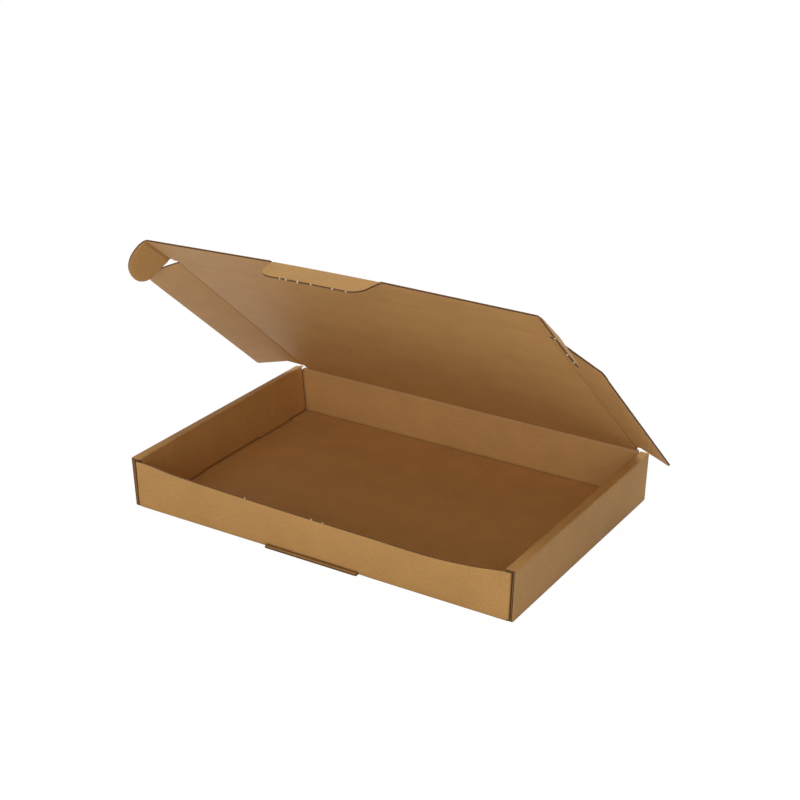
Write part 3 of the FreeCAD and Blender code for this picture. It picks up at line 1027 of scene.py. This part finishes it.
# ----------------------------------------------------------------------- the lock tab
# A tab with round corners, creased to the tuck flap's free edge.  It goes through the
# front wall's slot and holds the box shut.
tab_fold = 44.0
tab_root = tab_line + 0.1 * mm
tab_depth = 16.0 * mm
tab_waist = tab_half - 1.7 * mm
tab_corner = 10.0 * mm
tab_axis = Vector((0, -lid_depth - tab_crease, -board / 2))
tab_end = tab_root + tab_depth
tab_flat = tab_half - tab_corner
tab_middle = tab_root + tab_depth / 2
tab_swell = (1.8 * mm, 1.44 * mm)   # of the round corners, beyond a straight cut
tab_outline = [(tab_half, tab_root), (tab_waist, tab_middle)]
tab_outline += arc(tab_outline[-1], ((tab_waist + tab_flat) / 2 + tab_swell[0],
                                     (tab_middle + tab_end) / 2 + tab_swell[1]),
                   (tab_flat, tab_end), 10)
tab_outline += [(-u, v) for u, v in reversed(tab_outline)]
tab_outline = [(u + tab_shift, v) for u, v in tab_outline]
tab_spot = flat_spot(tuck_place @ folding(tab_axis, tab_fold, "X"))
tab_start = tab_line + tab_reach
tab_rows = rows(tab_start, *[v for u, v in tab_outline if v > tab_start])


def tab_widths(v):
    low, high = width_at(tab_outline, v, -1)
    return near_edges(low, high, 6)


tab_cuts = list(zip(tab_outline, tab_outline[1:]))
tab = build("lock_tab", "lock_tab", [(tab_widths, tab_rows)], tab_spot, tab_cuts)
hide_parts("lock_tab")
tab_bend = creased(tuck_place, tab_axis, "X", tab_fold, lambda u, v: v - tab_line,
                   tab_reach)
crease("tab_crease", tab_bend, [(tab_columns, over(tab_line, tab_reach))],
       [((u, tab_line - tab_reach), (u, tab_line + tab_reach))
        for u in (tab_columns[0], tab_columns[-1])],
       lambda q: (0, tab_line + q), tab_reach)

# ----------------------------------------------------------------- torn bits of paper
# Small joints held the sheet in its frame while it was cut.  Where they tore, they
# left pale tufts of fibre on the edges.
torn_brown = (0.90, 0.83, 0.72)
torn_size = 0.62 * mm
full_turn = 6.28
torn_stretch = ((0.8, 0.6, 0.6), (1.4, 1.0, 1.0))
torn_paper = kraft("torn paper", torn_brown, 0.1, 0.9, 0.1)


def torn_tree():
    """Tufts of torn paper on a mesh's points, each turned and sized at random."""
    tree = bpy.data.node_groups.new("torn paper", "GeometryNodeTree")
    nodes, given = with_sockets(
        tree, (("Places", "Geometry"), ("Tuft size", "Float"), ("Seed", "Int")), "Tufts")

    def random_vector(low, high):
        return nodes.add("FunctionNodeRandomValue", {"data_type": "FLOAT_VECTOR"},
                         {0: low, 1: high, "Seed": given.of("Seed")})

    tuft = nodes.add("GeometryNodeMeshIcoSphere", {},
                     {"Radius": given.of("Tuft size"), "Subdivisions": 1})
    tufts = nodes.add("GeometryNodeInstanceOnPoints", {},
                      {"Points": given.of("Places"), "Instance": tuft,
                       "Rotation": random_vector((0, 0, 0), (full_turn,) * 3),
                       "Scale": random_vector(*torn_stretch)})
    tufts = nodes.add("GeometryNodeRealizeInstances", {}, {"Geometry": tufts})
    tufts = nodes.add("GeometryNodeStoreNamedAttribute",
                      {"data_type": "FLOAT_VECTOR", "domain": "POINT"},
                      {"Geometry": tufts, "Name": "paper",
                       "Value": nodes.add("GeometryNodeInputPosition")})
    tufts = nodes.add("GeometryNodeSetMaterial", {},
                      {"Geometry": tufts, "Material": torn_paper})
    nodes.add("NodeGroupOutput", {}, {"Tufts": tufts})
    return tree


torn = torn_tree()
torn_places = {
    "lock_tab": [(tab_spot, u * mm, tab_end)
                 for u in (-20.5, -16.7, -9.7, -1.6, 11.2, 19.2)],
    "tray": [(front_spot, u * mm, -wall_top) for u in (-41.7, 2.4, 9.5)],
    "right_ear": [(ear_spots[1], u * mm, tuck_far - back * mm)
                  for u, back in ((131, 3.2), (137.3, 11.5), (139.3, 18))]}
for number, (body, places) in enumerate(torn_places.items()):
    points = bpy.data.meshes.new("torn places")
    points.from_pydata([spot(u, v)[0] for spot, u, v in places], [], [])
    tufts = taken_through(torn, {"Tuft size": torn_size, "Seed": number},
                          body + "_torn_paper", points)
    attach(tufts, body)

# ------------------------------------------------------------------------- the studio
# A plain white floor and backdrop under two soft lamps, with the camera a little above
# the open box.
floor_white, floor_glow, glow_share = 0.85, 1.02, 0.96
world_light = 0.25


def shown_white(nodes):
    """1 for light on its way to the camera, straight or through gloss, else 0."""
    seen = nodes.add("ShaderNodeLightPath")
    return (seen + seen.of("Is Glossy Ray")
            + seen.of("Is Transmission Ray")).maths("MINIMUM", 1.0)


floor_mesh = bpy.data.meshes.new("floor")
far = 6.0
floor_mesh.from_pydata([(-far, -far, 0), (far, -far, 0), (far, far, 0), (-far, far, 0)],
                       [], [(0, 1, 2, 3)])
floor = bpy.data.objects.new("floor", floor_mesh)
bpy.context.scene.collection.objects.link(floor)
floor_paint = bpy.data.materials.new("white floor")
floor_paint.use_nodes = True
nodes = Nodes(floor_paint.node_tree)
floor_paint.node_tree.nodes["Principled BSDF"].inputs["Base Color"].default_value = (
    floor_white, floor_white, floor_white, 1)
glow = nodes.add("ShaderNodeEmission", {},
                 {"Color": (1, 1, 1, 1), "Strength": floor_glow})
plain = Value(nodes, floor_paint.node_tree.nodes["Principled BSDF"].outputs[0])
painted = nodes.add("ShaderNodeMixShader", {},
                    {0: shown_white(nodes) * glow_share, 1: plain, 2: glow})
nodes.feed(floor_paint.node_tree.nodes["Material Output"].inputs["Surface"], painted)
floor_mesh.materials.append(floor_paint)

world = bpy.data.worlds.new("studio")
bpy.context.scene.world = world
world.use_nodes = True
nodes = Nodes(world.node_tree)
backdrop = world.node_tree.nodes["Background"]
nodes.feed(backdrop.inputs["Strength"],
           world_light + shown_white(nodes) * (1 - world_light))
backdrop.inputs["Color"].default_value = (1, 1, 1, 1)


def lamp(name, place, aim, size, power):
    light = bpy.data.lights.new(name, "AREA")
    light.size = size
    light.energy = power
    made = bpy.data.objects.new(name, light)
    made.location = place
    towards = Vector(aim) - Vector(place)
    made.rotation_euler = towards.to_track_quat("-Z", "Y").to_euler()
    bpy.context.scene.collection.objects.link(made)


lamp("top light", (0.05, 0.35, 2.0), (0, 0, 0), 1.5, 17)
lamp("front light", (0.5, -2.0, 0.75), (0, 0, 0.05), 1.3, 17)

camera_data = bpy.data.cameras.new("camera")
camera_data.lens = 75.63
camera_data.sensor_width = 36
camera_data.clip_end = 50
camera = bpy.data.objects.new("camera", camera_data)
right = Vector((0.85185, 0.52373, 0.00773))
down = Vector((0.21417, -0.33480, -0.91763))
ahead = Vector((-0.47800, 0.78333, -0.39737))
turned = Matrix((right, -down, -ahead)).transposed()
camera.matrix_world = (Matrix.Translation(Vector((451.8, -733.9, 437.8)) * mm)
                       @ turned.to_4x4())
bpy.context.scene.collection.objects.link(camera)
bpy.context.scene.camera = camera
bpy.context.scene.view_settings.view_transform = "Standard"
